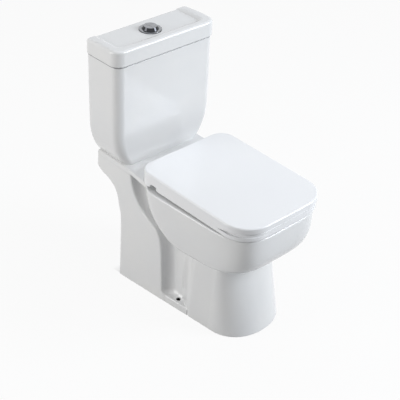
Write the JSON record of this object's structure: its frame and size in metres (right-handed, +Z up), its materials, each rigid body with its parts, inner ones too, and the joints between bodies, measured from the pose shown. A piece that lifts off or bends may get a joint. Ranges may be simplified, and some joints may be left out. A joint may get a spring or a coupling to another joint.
{
  "type": "close-coupled toilet",
  "caption": "Floor-standing toilet with a separate cistern on the pan's shelf, push-button flush, and a seat ring and cover that lift.",
  "frame": {"origin": "on the floor, halfway between the two floor screw holes", "axes": "+Z up, +Y towards the wall behind the cistern, +X to the right of someone who faces the wall"},
  "size_m": [0.398, 0.6526, 0.788],
  "materials": {
    "ceramic": "gloss",
    "seat_plastic": "gloss",
    "chrome": "mirror",
    "rubber": "matt",
    "buffer_rubber": "matt",
    "steel": "brushed",
    "nut_plastic": "matt",
    "valve_plastic": "satin",
    "float_plastic": "satin"
  },
  "bodies": {
    "base": {"pan": "ceramic", "cistern_tank": "ceramic", "coupling_bolts": "steel", "coupling_cone_washers": "rubber", "coupling_washers": "steel", "coupling_wing_nuts": "nut_plastic", "coupling_gasket": "rubber", "flush_valve_body": "valve_plastic", "flush_valve_washer": "rubber", "flush_valve_back_nut": "nut_plastic", "fill_valve_body": "valve_plastic", "fill_valve_washer": "rubber", "fill_valve_back_nut": "nut_plastic", "float_pin": "steel", "hinge_posts": "chrome", "hinge_pins": "steel", "seat_studs": "steel", "seat_washers": "rubber", "seat_wing_nuts": "nut_plastic"},
    "lid": {"cistern_lid": "ceramic", "button_bezel": "chrome", "button_lock_nut": "nut_plastic", "button_spring_full": "steel", "button_spring_half": "steel"},
    "full_button": {"button_full": "chrome", "push_rod_full": "nut_plastic"},
    "half_button": {"button_half": "chrome", "push_rod_half": "nut_plastic"},
    "flush_lifter": {"overflow_tube": "valve_plastic", "flush_valve_seal": "rubber"},
    "float": {"float_cup": "float_plastic", "float_arm": "valve_plastic"},
    "ring": {"seat_ring": "seat_plastic", "ring_buffers": "buffer_rubber"},
    "cover": {"seat_cover": "seat_plastic", "cover_buffers": "buffer_rubber"}
  },
  "joints": [
    {"name": "seat_ring_hinge", "type": "hinge", "parent": "base", "child": "ring", "pos_m": [0, 0.12, 0.43], "axis": [-1, 0, 0], "range_deg": [0, 98]},
    {"name": "seat_cover_hinge", "type": "hinge", "parent": "ring", "child": "cover", "pos_m": [0, 0.12, 0.43], "axis": [1, 0, 0], "range_deg": [-98, 0]},
    {"name": "lid_lift", "type": "slide", "parent": "base", "child": "lid", "axis": [0, 0, 1], "range_m": [0, 0.12]},
    {"name": "button_full_press", "type": "slide", "parent": "lid", "child": "full_button", "axis": [0, 0, -1], "range_m": [0, 0.008], "stiffness_N_per_m": 500, "springref_m": -0.008, "deforming": ["button_spring_full"]},
    {"name": "button_half_press", "type": "slide", "parent": "lid", "child": "half_button", "axis": [0, 0, -1], "range_m": [0, 0.008], "stiffness_N_per_m": 500, "springref_m": -0.008, "deforming": ["button_spring_half"]},
    {"name": "flush_lift", "type": "slide", "parent": "base", "child": "flush_lifter", "axis": [0, 0, 1], "range_m": [0, 0.016]},
    {"name": "float_swing", "type": "hinge", "parent": "base", "child": "float", "pos_m": [0.139, 0.29, 0.671], "axis": [0, -1, 0], "range_deg": [0, 40]}
  ],
  "couplings": [
    {"joint": "flush_lift", "follows": "button_full_press", "ratio": 2}
  ]
}
